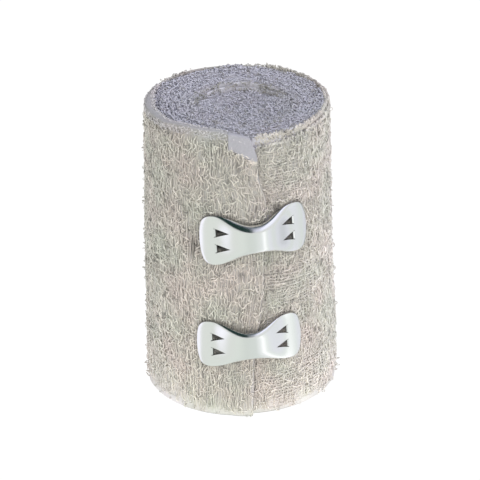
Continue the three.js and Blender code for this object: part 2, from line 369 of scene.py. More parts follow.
def patchy(x, z, wide, tall, seed):
    """Smooth random values from -1 to 1, in patches about so many millimetres wide and tall."""
    lattice = np.random.default_rng(seed).uniform(-1, 1, (LATTICE, LATTICE))
    u, v = x / wide, z / tall
    i, j = np.floor(u).astype(int), np.floor(v).astype(int)
    f, g = ease(u - i, 0, 1), ease(v - j, 0, 1)

    def pick(di, dj):
        return lattice[(i + di) % LATTICE, (j + dj) % LATTICE]

    low = pick(0, 0) * (1 - f) + pick(1, 0) * f
    high = pick(0, 1) * (1 - f) + pick(1, 1) * f
    return low * (1 - g) + high * g


# %% Places on the winding and on its wall
END_EDGE = (
    # height, how far the end's edge lies to the right
    (0, -2.2),
    (10, -1.8),
    (36, 1.0),
    (57, 2.0),
    (65, 0.2),
    (75, 0.0),
)
END_EDGE_SPREAD = math.radians(60)
HEM_WIDTH = 4.0
HEM_RISE = 0.4
CREASE_DEPTH = 0.16
CREASE_WIDTH = 2.2
CREASE_LENGTH = 17
SWELLS = (
    # size, waves around, waves along, phase
    (0.16, 2, 1.1, 0.6),
    (0.12, 3, 2.3, 2.4),
)


def taper_at(height):
    return (FOOT_RADIUS + (HEAD_RADIUS - FOOT_RADIUS) * height / STRIP_WIDTH) / MEAN_RADIUS


def winding_azimuth(turns, height):
    near = 2 * math.pi * np.minimum(TURNS - turns, np.abs(TURNS - 1 - turns))
    follow = 1 - ease(near, 0, END_EDGE_SPREAD)
    return azimuth_at(turns) + read_table(END_EDGE, height) * follow / MEAN_RADIUS


def winding_point(radius, turns, height):
    azimuth = winding_azimuth(turns, height)
    heart = 1 - ease(radius, CORE_RADIUS, CORE_FLAT_REACH)
    shift = CORE_SHIFT * (1 - ease(radius, CORE_RADIUS, MEAN_RADIUS))
    wide = radius * taper_at(height)
    deep = wide * (1 + (CORE_FLATNESS - 1) * heart)
    x = shift + wide * np.sin(azimuth)
    y = -deep * np.cos(azimuth)
    return np.stack(np.broadcast_arrays(x, y, height), axis=-1)


def swell_at(turns, height):
    along = height / STRIP_WIDTH * math.pi
    waves = [
        size * np.sin(around * azimuth_at(turns) + up * along + phase)
        for size, around, up, phase in SWELLS
    ]
    return sum(waves)


def crease_at(turns, height):
    """Long, soft, upright creases of the drawn cloth."""
    shown = ease(height, 4, 16)
    along, up = np.broadcast_arrays(turns * ROUND, height)
    return CREASE_DEPTH * shown * patchy(along, up, CREASE_WIDTH, CREASE_LENGTH, 15)


def wall_point(turns, height, out):
    """A place over the last turn's face, out from the CAD wall by so much."""
    hem = HEM_RISE * (1 - ease(from_end(turns), HEM_WIDTH * 0.75, HEM_WIDTH * 1.5))
    uneven = swell_at(turns, height) + crease_at(turns, height)
    return winding_point(reach_at(turns) + uneven + hem + out, turns, height)


def outward_at(turns, height):
    azimuth = winding_azimuth(turns, height)
    parts = np.sin(azimuth), -np.cos(azimuth), np.zeros_like(azimuth)
    return np.stack(np.broadcast_arrays(*parts), axis=-1)


# %% Mesh pieces from arrays
def add_mesh(name, points, faces, texture_map, tint, lilac_light):
    """Makes a smooth piece of points in millimetres. Each point has two tones: a tint, and a share of
    painted lilac light.
    """
    mesh = bpy.data.meshes.new(name)
    mesh.from_pydata(points.reshape(-1, 3) * MM, [], faces)
    mesh.polygons.foreach_set("use_smooth", np.ones(len(mesh.polygons), bool))
    layer = mesh.uv_layers.new(name="OFBake")
    layer.data.foreach_set("uv", np.asarray(texture_map, np.float32).ravel())
    for tone, values in (("tint", tint), ("lilac_light", lilac_light)):
        mark = mesh.attributes.new(tone, "FLOAT", "POINT")
        mark.data.foreach_set("value", np.asarray(values, np.float32).ravel())
    mesh.validate()
    piece = bpy.data.objects.new(name, mesh)
    bpy.context.scene.collection.objects.link(piece)
    print(name, len(mesh.vertices), "points", len(mesh.loops) - 2 * len(mesh.polygons), "triangles")
    return piece


# %% [markdown]
# ## The wound layers
# Most of the strip is hidden: only the edges of the inner layers show, at the two ends. Each layer is
# still made, as a thin ribbon with rounded edges, because the dark lines between the layers and the
# uneven heights of the edges are what a rolled bandage looks like from above. The ribbon's section is
# a closed ring of points, swept along the spiral.

# %% Sweep a ribbon along the winding
def sweep_ribbon(name, points, tint, lilac_light):
    """Makes a closed ribbon of points[column, ring, xyz], with a cap at both ends."""
    columns, ring = points.shape[:2]
    index = np.arange(columns * ring).reshape(columns, ring)
    after = np.roll(index, -1, axis=1)
    quads = np.stack([index[:-1], index[1:], after[1:], after[:-1]], axis=-1).reshape(-1, 4)
    u = np.repeat(np.linspace(0, 0.99, columns)[:, None], ring + 1, axis=1)
    v = np.repeat(np.linspace(0, 0.99, ring + 1)[None], columns, axis=0)
    flat = np.stack([u, v], axis=-1)
    corners = [flat[:-1, :-1], flat[1:, :-1], flat[1:, 1:], flat[:-1, 1:]]
    quad_map = np.stack(corners, axis=2).reshape(-1, 2)
    angle = np.linspace(0, 2 * math.pi, ring, endpoint=False)
    cap_map = 0.993 + 0.003 * np.stack([np.cos(angle), np.sin(angle)], axis=-1)
    faces = quads.tolist() + [index[0].tolist(), index[-1][::-1].tolist()]
    texture_map = np.concatenate([quad_map, cap_map, cap_map + (0, -0.02)])
    tones = [np.broadcast_to(tone, index.shape) for tone in (tint, lilac_light)]
    return add_mesh(name, points, faces, texture_map, *tones)


def evenly_wound(start, stop, step):
    """Turns at even steps of so many millimetres along the strip."""
    fine = np.linspace(start, stop, 20000)
    length = np.concatenate([[0], np.cumsum(np.diff(fine) * 2 * math.pi * reach_at(fine[:-1]))])
    return np.interp(np.linspace(0, length[-1], int(length[-1] / step)), length, fine), length[-1]


# %% [markdown]
# At the front and left, the last turn's upper edge is turned in over its neighbours as a smooth lip.
# Elsewhere its edge is as shaggy as the rest. The lip's share is 1 where it is whole and 0 where there
# is none.

# %% Where the smooth lip runs
def lip_share(turns):
    before = np.mod(TURNS - turns, 1)
    return ease(before, 0.0, 0.012) * (1 - ease(before, 0.27, 0.36))


def lip_width(turns):
    before = np.mod(TURNS - turns, 1)
    return lip_share(turns) * (0.5 + 0.5 * ease(before, 0.12, 0.24))


# %% Make the inner layers
OUTER_START = 26.85
RIBBON_STEP = 0.9
HALF_THICK = 0.3
# The wound layers' edges are darkened as painted shade, as the shaded base of the pile under the loops.
WOUND_SHADE_TINT = -0.6
# The layers' edges are mixed towards lilac as painted light of the bluish ceiling.
WOUND_LILAC_LIGHT = 0.7
RIBBON_SECTION = (
    # side of the layer, share of the height, then a distance up from there
    (1.0, 0.0, 1.0),
    (1.0, 0.0, 5.0),
    (1.0, 0.5, 0.0),
    (1.0, 1.0, -5.0),
    (1.0, 1.0, -1.2),
    (0.8, 1.0, -0.3),
    (0.0, 1.0, 0.0),
    (-0.8, 1.0, -0.3),
    (-1.0, 1.0, -1.2),
    (-1.0, 1.0, -5.0),
    (-1.0, 0.5, 0.0),
    (-1.0, 0.0, 5.0),
    (-1.0, 0.0, 1.0),
    (-0.8, 0.0, 0.3),
    (0.0, 0.0, 0.0),
    (0.8, 0.0, 0.3),
)


def edge_lift(turns):
    along = turns * ROUND
    return 0.35 * patchy(along, 0 * along, 3.1, 1, 11) + 0.3 * patchy(along, 0 * along, 9, 1, 12)


def under_lip(turns):
    """How far a layer's edge keeps below the lip."""
    near = ease(reach_at(turns), MEAN_RADIUS - 3.6, MEAN_RADIUS - 2.8)
    return 0.7 * near * lip_share(turns)


def inner_section(turns):
    side, share, rise = np.array(RIBBON_SECTION).T
    t = turns[:, None]
    along = t * ROUND
    top = head_at(t) - 0.55 + edge_lift(t) - under_lip(t)
    height = share * top + rise
    wander = 0.16 * patchy(along, height, 2.3, 2.5, 13) + 0.2 * patchy(along, height, 8, 6, 14)
    radius = reach_at(t) - layer_at(t) / 2 + HALF_THICK * side + wander
    return winding_point(np.maximum(radius, 0.15), t + 0 * height, height)


inner_turns, inner_length = evenly_wound(0.0, OUTER_START + 0.03, RIBBON_STEP)
wound_strip = sweep_ribbon("wound_strip", inner_section(inner_turns), WOUND_SHADE_TINT, WOUND_LILAC_LIGHT)

# %% [markdown]
# ## Under the clips
# The clips press the cloth down, and it stands up around them. So the clips' outline is needed before
# any thread is laid: two broad lobes joined by a narrow waist. Under each punched slot the tooth has
# parted the threads and pushed them in, and the hole is darkened with painted shade. Along the clips'
# edges the cloth is darkened with painted shadow.

# %% Outline of a clip
CLIP_LENGTH = 27.6
LOBE_WIDTH = 13.2
WAIST_WIDTH = 7.4
LOBE_CORNER = 2.7
WAIST_ENDS = (0.03, 0.78)


def clip_half_width(along):
    share = np.abs(along) / (CLIP_LENGTH / 2)
    broad = WAIST_WIDTH + (LOBE_WIDTH - WAIST_WIDTH) * ease(share, *WAIST_ENDS)
    short = np.clip(LOBE_CORNER - (CLIP_LENGTH / 2 - np.abs(along)), 0, LOBE_CORNER)
    return broad / 2 - (LOBE_CORNER - np.sqrt(LOBE_CORNER**2 - short**2))


# %% Where the clips press and pierce
CLIPS = (
    # node, height, azimuth in degrees, tilt in degrees, size, depth of the rolled edges
    ("clip_upper", 48.7, 9.9, 3.5, 0.97, 1.7),
    ("clip_lower", 20.3, 5.2, 2.0, 0.91, 0.8),
)
TOOTH_LENGTH = 3.6
TOOTH_INSET = 3.3
TOOTH_SPACING = 4.3


def on_clips(turns, height):
    """Places on the wall as along and across each clip."""
    azimuth = winding_azimuth(turns, height)
    azimuth = (azimuth + math.pi) % (2 * math.pi) - math.pi
    for _, middle, centre, tilt, size, _ in CLIPS:
        right = (azimuth - math.radians(centre)) * MEAN_RADIUS / size
        up = (height - middle) / size
        sine, cosine = math.sin(math.radians(tilt)), math.cos(math.radians(tilt))
        yield right * cosine + up * sine, up * cosine - right * sine


def pressed_at(turns, height):
    pressed = 0.0
    for along, across in on_clips(turns, height):
        beside = np.abs(across) - clip_half_width(np.clip(along, -CLIP_LENGTH / 2, CLIP_LENGTH / 2))
        inside = 1 - ease(beside, -0.2, 0.9)
        pressed = np.maximum(pressed, inside * (1 - ease(np.abs(along) - CLIP_LENGTH / 2, -0.2, 0.9)))
    return pressed


def clip_shadow_at(turns, height):
    """Where the cloth along the clips' edges is darkened as painted shadow."""
    pressed = pressed_at(turns, height)
    return 4 * pressed * (1 - pressed)


def slotted_at(turns, height):
    slotted = 0.0
    middle = CLIP_LENGTH / 2 - TOOTH_INSET - TOOTH_LENGTH * 0.4
    for along, across in on_clips(turns, height):
        far = np.hypot((np.abs(along) - middle) / 2.2, (np.abs(across) - TOOTH_SPACING / 2) / 1.4)
        slotted = np.maximum(slotted, 1 - ease(far, 0.55, 1.1))
    return slotted


# %% [markdown]
# ## The last turn
# The last turn is what the eye sees. Under the threads lies a smooth carrier sheet, a little inside the
# true wall, so that the threads over it come out at the right size. Its colour is darkened as painted
# shade, because it shows only in the pits between the threads. Below the lip a narrow band of it stays
# bare; that band and the lip are darkened as painted shade as well.

# %% Make the outer turn
def strip_along(turns):
    return (turns - (TURNS - 1)) * ROUND


def floor_light_at(height):
    """Painted light from the white floor: the cloth is made paler towards the foot."""
    return 1.9 * (1 - ease(height, 0, 16)) + 1.3 * (1 - ease(height, 24, 62))


PITS = (
    # distance before the end, height, half-width, half-height
    (5.0, 67.2, 0.5, 1.7),
    (7.4, 63.5, 0.4, 1.4),
    (5.4, 38.6, 1.1, 1.0),
    (17.0, 44.9, 0.7, 3.4),
    (145.3, 55.3, 1.3, 1.4),
)


def pitted_at(turns, height):
    """Small dark pits between the threads, where the photograph has them."""
    # The threads and the carrier are darkened in these pits as painted shade, and curls are left out
    # there.
    pitted = 0.0
    for back, level, wide, tall in PITS:
        far = np.hypot((from_end(turns) - back) / wide, (height - level) / tall)
        pitted = np.maximum(pitted, 1 - ease(far, 0.6, 1.3))
    return pitted


CARRIER_OUT = -0.45
CARRIER_THICK = 0.5
BAND_HEIGHT = 0.7
BARE_HEIGHT = 0.5
CARRIER_ROWS = 56
HIDDEN_ROWS = CARRIER_ROWS + 5
# The carrier's ground is darkened as painted shade of the pits between the threads. The lip and the
# turn's inner side are darkened as painted shade too.
GROUND_SHADE_TINT = -3.5
LIP_AND_INSIDE_SHADE_TINT = -4.4


def bare_height(turns):
    return BAND_HEIGHT + 0.3 + BARE_HEIGHT * lip_share(turns)


def carrier_top(turns):
    """Away from the lip the edge lies a little lower, under its loops."""
    return head_at(turns) - 0.5 * (1 - lip_share(turns))


def carrier_rows(turns):
    return 0.4 + np.linspace(0, 1, CARRIER_ROWS) * (carrier_top(turns) - 0.8)


def bareness(turns, height):
    line = head_at(turns) - bare_height(turns)
    return ease(height, line - 0.5, line + 0.7)


def carrier_section(turns):
    t = turns[:, None]
    top = carrier_top(t)
    height = carrier_rows(t)
    band = ease(height, top - BAND_HEIGHT - 0.4, top - BAND_HEIGHT + 0.3)
    bare = bareness(t, height)
    along = t * ROUND
    bumps = 0.10 * patchy(along, height, 1.7, 2.4, 21) + 0.12 * patchy(along, height, 4, 9, 22)
    rim = 0.16 * bare + 0.2 * band + 0.15 * (1 - ease(height, 0.6, 1.6))
    rim = rim - 0.5 * pressed_at(t, height) + 0.3 * slotted_at(t, height)
    lip = lip_width(t)
    waver = 0.12 * patchy(along, 0 * along, 5, 1, 23)
    whole = t + 0 * height
    ring = (
        wall_point(whole, height, CARRIER_OUT + rim + bumps * (1 - band)),
        wall_point(t, top - 0.06, CARRIER_OUT + 0.05),
        wall_point(t, top + 0.05, CARRIER_OUT - 0.4 - 0.4 * lip),
        wall_point(t, top - 0.12 + waver, CARRIER_OUT - CARRIER_THICK - lip),
        wall_point(t, top - 0.5, CARRIER_OUT - CARRIER_THICK - lip),
        wall_point(whole, height[:, ::-1] - 0.3, CARRIER_OUT - CARRIER_THICK),
        wall_point(t, 0 * top, CARRIER_OUT - CARRIER_THICK / 2),
    )
    return np.concatenate(ring, axis=1)


def carrier_tint(turns):
    t = turns[:, None]
    height = carrier_rows(t)
    bare = bareness(t, height)
    # The ground is darkened as painted shade of the pits between the threads, more in the listed pits and
    # less near the foot.
    ground = (GROUND_SHADE_TINT - 3.0 * pitted_at(t, height)) * ease(height, 1, 8) * (1 - bare)
    # The bare band under the lip, the slots and the clips' edges are darkened as painted shade.
    painted_shade = 5.0 * bare + 8.0 * slotted_at(t, height) + 2.0 * clip_shadow_at(t, height)
    outer = ground - painted_shade + 0.6 * floor_light_at(height)
    # The lip and the turn's inner side are darkened as painted shade.
    rest = np.full((len(turns), HIDDEN_ROWS), LIP_AND_INSIDE_SHADE_TINT)
    return np.concatenate([outer, rest], axis=1)


# The lilac share is painted ceiling light: a little on the wall, more on the lip.
def carrier_lilac_light(turns):
    t = turns[:, None]
    outer = 0.2 + 0 * carrier_rows(t)
    rest = np.repeat(0.1 + 0.35 * lip_share(t), HIDDEN_ROWS, axis=1)
    return np.concatenate([outer, rest], axis=1)


outer_turns, outer_length = evenly_wound(OUTER_START, TURNS - 0.0005, RIBBON_STEP)
outer_tones = carrier_tint(outer_turns), carrier_lilac_light(outer_turns)
outer_turn = sweep_ribbon("outer_turn", carrier_section(outer_turns), *outer_tones)

# %% [markdown]
# ## Threads
# Crepe gets its look from its threads. The threads across the strip stand upright here, and the
# twisted threads along the strip shrink, so the upright ones crowd into wavy ridges and throw up
# curls. Real threads catch the light and leave small dark pits, which a bump pattern can't do at this
# size. Each thread is a slim tube of few faces, and all threads of a kind are one mesh.

# %% Tubes along paths
def add_tubes(name, paths, outward, thick, tint, across_map, lilac_light=0.0):
    """Makes three-sided tubes[tube, step] along paths. across_map of them lie side by side on the map."""
    tubes, steps = paths.shape[:2]
    sides = 3
    along = np.gradient(paths, axis=1)
    along /= np.linalg.norm(along, axis=-1, keepdims=True) + 1e-9
    across = np.cross(outward, along)
    across /= np.linalg.norm(across, axis=-1, keepdims=True) + 1e-9
    up = np.cross(along, across)
    angle = np.arange(sides) * 2 * math.pi / sides + math.pi / 2
    around = across[:, :, None] * np.cos(angle)[:, None] + up[:, :, None] * np.sin(angle)[:, None]
    points = paths[:, :, None] + around * np.broadcast_to(thick, (tubes, steps))[..., None, None]

    index = np.arange(tubes * steps * sides).reshape(tubes, steps, sides)
    after = np.roll(index, -1, axis=2)
    quads = np.stack([index[:, :-1], after[:, :-1], after[:, 1:], index[:, 1:]], axis=-1)
    start_caps = index[:, 0, ::-1].tolist()
    end_caps = index[:, -1].tolist()

    number = np.arange(tubes)
    rows = -(-tubes // across_map)
    u0 = (number % across_map)[:, None, None] + np.linspace(0.02, 0.98, steps)[None, :, None]
    v0 = (number // across_map)[:, None, None] + np.linspace(0.05, 0.95, sides + 1)[None, None]
    flat = np.stack(np.broadcast_arrays(u0 / across_map, v0 / rows), axis=-1)
    corners = [flat[:, :-1, :-1], flat[:, :-1, 1:], flat[:, 1:, 1:], flat[:, 1:, :-1]]
    quad_map = np.stack(corners, axis=3).reshape(-1, 2)
    cap_map = np.concatenate([flat[:, 0, :sides].reshape(-1, 2), flat[:, -1, :sides].reshape(-1, 2)])
    faces = quads.reshape(-1, 4).tolist() + start_caps + end_caps
    tones = [np.broadcast_to(tone, (tubes, steps)) for tone in (tint, lilac_light)]
    tones = [np.repeat(tone[..., None], sides, axis=-1) for tone in tones]
    return add_mesh(name, points, faces, np.concatenate([quad_map, cap_map]), *tones)


# %% Crinkles of the last turn
CRINKLE = 1.2
CRINKLE_RISE = 0.15


def crinkle_phase(along, height):
    wander = 1.7 * patchy(along, height, 11, 14, 31) + 0.7 * patchy(along, height, 4, 4.5, 32)
    return 2 * math.pi * (along / CRINKLE + wander)


# %% Where threads stop
FOLD_FOOT = 68.2
FOLD_SLOPE = 0.52
FOLD_REACH = 7.0


def threads_top(turns):
    """Threads stop below the bare cloth under the lip, and below the smooth fold at the end."""
    back = from_end(turns)
    fold = np.where(back < FOLD_REACH, FOLD_FOOT + FOLD_SLOPE * back, STRIP_WIDTH)
    return np.minimum(head_at(turns) - bare_height(turns), fold)


# %% Upright threads
UPRIGHT_THREADS = 240
UPRIGHT_STEPS = 60
UPRIGHT_THICK = 0.25
# The upright threads lie under the curls and are darkened as painted shade.
UPRIGHT_SHADE_TINT = -1.4
SLOT_DEPTH = 2.2
SLOT_SHADE = 9.0
PIT_SHADE = 4.5
CLIP_SHADOW_DARKNESS = 2.0


def make_upright_threads():
    rng = np.random.default_rng(41)
    number = np.arange(UPRIGHT_THREADS)[:, None]
    t = TURNS - 1 + (number + 0.5) / UPRIGHT_THREADS
    height = 0.5 + np.linspace(0, 1, UPRIGHT_STEPS) * (threads_top(t) - 0.5)
    along = strip_along(t)
    phase = crinkle_phase(along, height)
    crowd = -CRINKLE / (2 * math.pi) * 0.5 * np.sin(phase)
    waver = 0.5 * patchy(along, height, 5, 6, 42) + 0.32 * patchy(along, height, 1.7, 2.1, 43)
    own = rng.uniform(-0.12, 0.12, along.shape) + 0.16 * patchy(number * 1.0, height, 0.6, 1.5, 45)
    sideways = crowd + waver + own
    loft = 1 - 0.85 * pressed_at(t + 0 * height, height)
    dive = 0.24 * patchy(number * 1.0, height, 0.7, 1.9, 46)
    swell = CRINKLE_RISE * np.cos(phase) + 0.1 * patchy(along, height, 2.2, 3.4, 44)
    out = -0.33 + 0.5 * (swell + dive) * loft - 0.6 * (1 - loft) - SLOT_DEPTH * slotted_at(t, height)
    ends = np.minimum(1, np.minimum(np.arange(UPRIGHT_STEPS), np.arange(UPRIGHT_STEPS)[::-1]) / 2)
    moved = np.clip(t + sideways / ROUND, TURNS - 1, TURNS - 0.0008)
    paths = wall_point(moved, height, np.minimum(out, 0.2) - 0.35 * (1 - ends))
    thick = UPRIGHT_THICK * (1 + rng.normal(0, 0.15, along.shape)) * (0.55 + 0.45 * ends)
    tint = rng.normal(0, 0.3, along.shape) + 0.4 * patchy(number * 1.0, height, 0.7, 3, 47)
    # Pits, slots and the clips' edges are darkened as painted shade.
    painted_shade = PIT_SHADE * pitted_at(moved, height) + SLOT_SHADE * slotted_at(t, height)
    painted_shade = painted_shade + CLIP_SHADOW_DARKNESS * clip_shadow_at(t, height)
    tint = tint + UPRIGHT_SHADE_TINT - painted_shade + floor_light_at(height)
    return add_tubes("upright_threads", paths, outward_at(moved, height), thick, tint, 1)


upright_threads = make_upright_threads()

# %% [markdown]
# To the right of the loose end the cloth is drawn the other way, and threads along the strip show there
# as fine level ribs. They fade into the upright ones towards the side.

# %% Level ribs
RIBS = 88
RIB_STEPS = 116
RIB_REACH = 52.0
RIB_THICK = 0.17
# The ribs lie under the curls and are darkened as painted shade.
RIB_SHADE_TINT = -1.1
RIB_PIT_SHADE = 6.0
RIB_PATCHES = (
    # distance from the loose end, height, half-width, half-height
    (6.0, 62.0, 10.0, 9.0),
    (10.0, 34.0, 11.0, 7.0),
    (14.0, 8.0, 12.0, 6.0),
)


def ribbed_at(along, height):
    ribbed = np.zeros(np.broadcast_shapes(np.shape(along), np.shape(height)))
    for middle, level, wide, tall in RIB_PATCHES:
        far = np.hypot((along - middle) / wide, (height - level) / tall)
        ribbed = np.maximum(ribbed, 1 - ease(far, 0.5, 1.2))
    return ribbed


def make_ribs():
    rng = np.random.default_rng(51)
    rows = np.arange(RIBS)[:, None]
    level = 1.0 + (rows + 0.5) * (STRIP_WIDTH - 5.2) / RIBS
    along = np.linspace(0.1, RIB_REACH, RIB_STEPS)[None]
    turns = TURNS - 1 + along / ROUND
    height = level + 0.4 * patchy(along, level, 6, 4, 52) + 0.16 * patchy(along, level, 1.5, 1, 53)
    height = np.minimum(height, threads_top(turns) - 0.3)
    phase = crinkle_phase(along, height)
    loft = 1 - 0.85 * pressed_at(turns + 0 * height, height)
    weave = 0.1 * np.cos(phase + math.pi * rows) + 0.3 * ribbed_at(along, height)
    weave = weave + 0.14 * patchy(along, rows * 1.0, 2.1, 0.7, 54)
    out = -0.36 + weave * loft - 0.55 * (1 - loft) - SLOT_DEPTH * slotted_at(turns, height)
    ends = ease(np.minimum(along, RIB_REACH - along), 0.1, 1.5)
    paths = wall_point(turns + 0 * height, height, out - 0.3 * (1 - ends))
    # Pits and slots are darkened as painted shade.
    painted_shade = RIB_PIT_SHADE * pitted_at(turns, height) + SLOT_SHADE * slotted_at(turns, height)
    tint = rng.normal(RIB_SHADE_TINT, 0.4, level.shape) - painted_shade + floor_light_at(height)
    thick = RIB_THICK * (1 + rng.normal(0, 0.15, level.shape))
    return add_tubes("level_ribs", paths, outward_at(turns + 0 * height, height), thick, tint, 1)


level_ribs = make_ribs()

# %% [markdown]
# ## Curls
# Between the ridges the slack threads stand up as short, wavy curls that lean every way. They break up
# the even lines of the weave. A curl is a short tube that rises from the cloth, runs a few millimetres
# and dives back in.

# %% Curls on the wall
CURL_STEPS = 7
# The curls are the outermost threads and are toned lighter than those under them, as painted light.
CURL_LIT_TINT = 0.7
FLECK_SHARE = 0.10
FLECK_SHADE = 5.5


def add_curls(name, turns, height, lean, length, thick, lift, seed, shift=0.0, shade=0.0):
    """Curls about places on the wall. lean is from upright, to the right, in radians."""
    rng = np.random.default_rng(seed)
    shape = (len(turns), 1)
    share = np.linspace(-1, 1, CURL_STEPS)
    waves = rng.uniform(0.5, 1.5, shape) * share + rng.uniform(0, 2, shape)
    bend = rng.uniform(0.06, 0.42, shape) * np.sin(math.pi * waves)
    run = length[:, None] / 2 * share
    sine, cosine = np.sin(lean)[:, None], np.cos(lean)[:, None]
    sideways = run * sine + bend * cosine
    up = height[:, None] + run * cosine - bend * sine
    moved = np.clip(turns[:, None] + sideways / ROUND, TURNS - 0.9995, TURNS - 0.0008)
    up = np.clip(up, 0.15, None)
    crest = 1 - np.abs(share) ** 2.5
    loft = 1 - 0.9 * pressed_at(moved, up)
    out = (-0.42 + (0.42 + lift[:, None]) * crest) * loft - 0.75 * (1 - loft) + shift
    along = strip_along(moved)
    streak = 0.9 * patchy(along, up, 2.4, 8, 64) + 0.7 * patchy(along, up, 12, 16, 66)
    tint = rng.normal(CURL_LIT_TINT, 1.0, shape) + shade + streak + floor_light_at(up)
    # Pits and the clips' edges are darkened as painted shade.
    tint = tint - PIT_SHADE * pitted_at(moved, up) - CLIP_SHADOW_DARKNESS * clip_shadow_at(moved, up)
    fleck = (rng.uniform(0, 1, shape) < FLECK_SHARE) * ease(up, 6, 20)
    tint = tint - FLECK_SHADE * fleck
    size = thick[:, None] * (0.6 + 0.4 * crest)
    return add_tubes(name, wall_point(moved, up, out), outward_at(moved, up), size, tint, 24)


# %% Scatter the curls
CURL_COLUMNS = 114
CURL_ROWS = 43


def curl_lean(turns, height):
    azimuth = (azimuth_at(turns) + math.pi) % (2 * math.pi) - math.pi
    left = np.exp(-(((azimuth + 0.95) / 0.45) ** 2) - ((height - 42) / 17) ** 2)
    along = strip_along(turns)
    return 0.4 * patchy(along, height, 9, 12, 61) + 0.35 * patchy(along, height, 3, 3.5, 62) - 0.6 * left


def scatter_curls(name, seed):
    rng = np.random.default_rng(seed)
    count = CURL_COLUMNS * CURL_ROWS
    column, row = np.divmod(np.arange(count), CURL_ROWS)
    turns = TURNS - 1 + (column + rng.uniform(0, 1, count)) / CURL_COLUMNS
    height = 0.8 + (row + rng.uniform(0, 1, count)) / CURL_ROWS * (STRIP_WIDTH - 2)
    keep = (height < threads_top(turns) - 0.2) & (pressed_at(turns, height) < 0.7)
    keep = keep & (rng.uniform(0, 1, count) < 0.15 + ease(height, 1.5, 9))
    keep = keep & (pitted_at(turns, height) < 0.4)
    turns, height = turns[keep], height[keep]
    count = len(turns)
    level = rng.uniform(0, 1, count) < 0.7 * ribbed_at(strip_along(turns), height)
    lean = curl_lean(turns, height) + rng.normal(0, 0.65, count) + np.where(level, 1.45, 0)
    length = rng.uniform(1.2, 2.9, count)
    thick = rng.uniform(0.13, 0.21, count)
    lift = rng.uniform(-0.15, 0.3, count)
    return add_curls(name, turns, height, lean, length, thick, lift, seed + 1)


curls = [scatter_curls("curls_a", 63), scatter_curls("curls_b", 65)]

# %% [markdown]
# At the right, the last turn begins under the loose end and has slipped down. Its edge and the edge of
# the layer inside it show as two rows of short, slanting ridges, like cords.

# %% Ridges of the edge at the right
RIDGE_STEP = 1.1
RIDGE_REACH = 62.0
INNER_EDGE = STRIP_WIDTH - 0.7
INNER_SHIFT = -0.8
GAP_SHIFT = -0.6
EDGE_SHADE = -1.6


def make_ridges(name, inner, seed):
    """A row of slanting ridges: on the wall's own edge, or on the edge of the layer inside it."""
    rng = np.random.default_rng(seed)
    along = np.arange(0.4, RIDGE_REACH, RIDGE_STEP)
    count = len(along)
    turns = TURNS - 1 + (along + rng.normal(0, 0.12, count)) / ROUND
    edge = np.maximum(head_at(turns), INNER_EDGE) if inner else head_at(turns) - 0.55
    height = edge + rng.normal(0, 0.1, count)
    lean = rng.normal(0.75, 0.2, count)
    length = rng.uniform(1.4, 1.8, count)
    thick = rng.uniform(0.25, 0.33, count)
    lift = rng.uniform(0.05, 0.2, count)
    shift = INNER_SHIFT if inner else 0.0
    return add_curls(name, turns, height, lean, length, thick, lift, seed + 1, shift, EDGE_SHADE)


def make_gap_curls():
    """Curls on the inner layer's face, between the two rows."""
    rng = np.random.default_rng(75)
    turns = TURNS - 1 + np.arange(0.3, 26, 0.11) / ROUND
    count = len(turns)
    height = head_at(turns) + rng.uniform(0, 1, count) * np.maximum(INNER_EDGE - head_at(turns), 0)
    lean = rng.normal(0.2, 0.7, count)
    length = rng.uniform(1.0, 2.0, count)
    thick = rng.uniform(0.13, 0.2, count)
    lift = 0 * turns
    return add_curls("gap_curls", turns, height, lean, length, thick, lift, 76, GAP_SHIFT, EDGE_SHADE)


edge_ridges = [
    make_ridges("inner_ridges", True, 71),
    make_ridges("wall_ridges", False, 73),
    make_gap_curls(),
]

# %% [markdown]
# ## Loops and fuzz
# At the strip's edges the cross threads turn back and make little loops, and stray loops stand out from
# the wall. They make the soft, broken outline. A loop is a tube of a few steps along most of an
# ellipse, leaning its own way.

# %% Loops on a surface
LOOP_STEPS = 8


def add_loops(name, foot, up, level, size, lean, thick, seed, lilac_light=0.0, shade=0.0):
    """Loops that stand on points foot. up and level are directions there; lean is in radians."""
    rng = np.random.default_rng(seed)
    count = len(foot)
    sideways = np.cross(up, level)
    turn = rng.uniform(0, 2 * math.pi, (count, 1))
    run = level * np.cos(turn) + sideways * np.sin(turn)
    rise = up * np.cos(lean)[:, None] + np.cross(run, up) * np.sin(lean)[:, None]
    angle = np.linspace(-0.3 * math.pi, 1.3 * math.pi, LOOP_STEPS)
    wide = size[:, 0, None] * np.cos(angle) * (1 + rng.normal(0, 0.15, (count, LOOP_STEPS)))
    tall = size[:, 1, None] * (np.sin(angle) + 0.75) + rng.normal(0, 0.04, (count, LOOP_STEPS))
    skew = size[:, 0, None] * rng.normal(0, 0.5, (count, 1)) * np.linspace(-1, 1, LOOP_STEPS)
    bulge = np.cross(run, rise)
    paths = foot[:, None] + run[:, None] * wide[..., None] + rise[:, None] * tall[..., None]
    paths = paths + bulge[:, None] * skew[..., None]
    paths[..., 2] = np.maximum(paths[..., 2], 0.12)
    tint = rng.normal(0.2, 0.35, (count, 1)) + shade
    outward = np.repeat(rise[:, None] * 0.3 + bulge[:, None], LOOP_STEPS, axis=1)
    return add_tubes(name, paths, outward, thick[:, None], tint, 24, lilac_light)


# %% Loops of the upper end
HEAD_LOOPS = 4500
LIP_START = 27.62


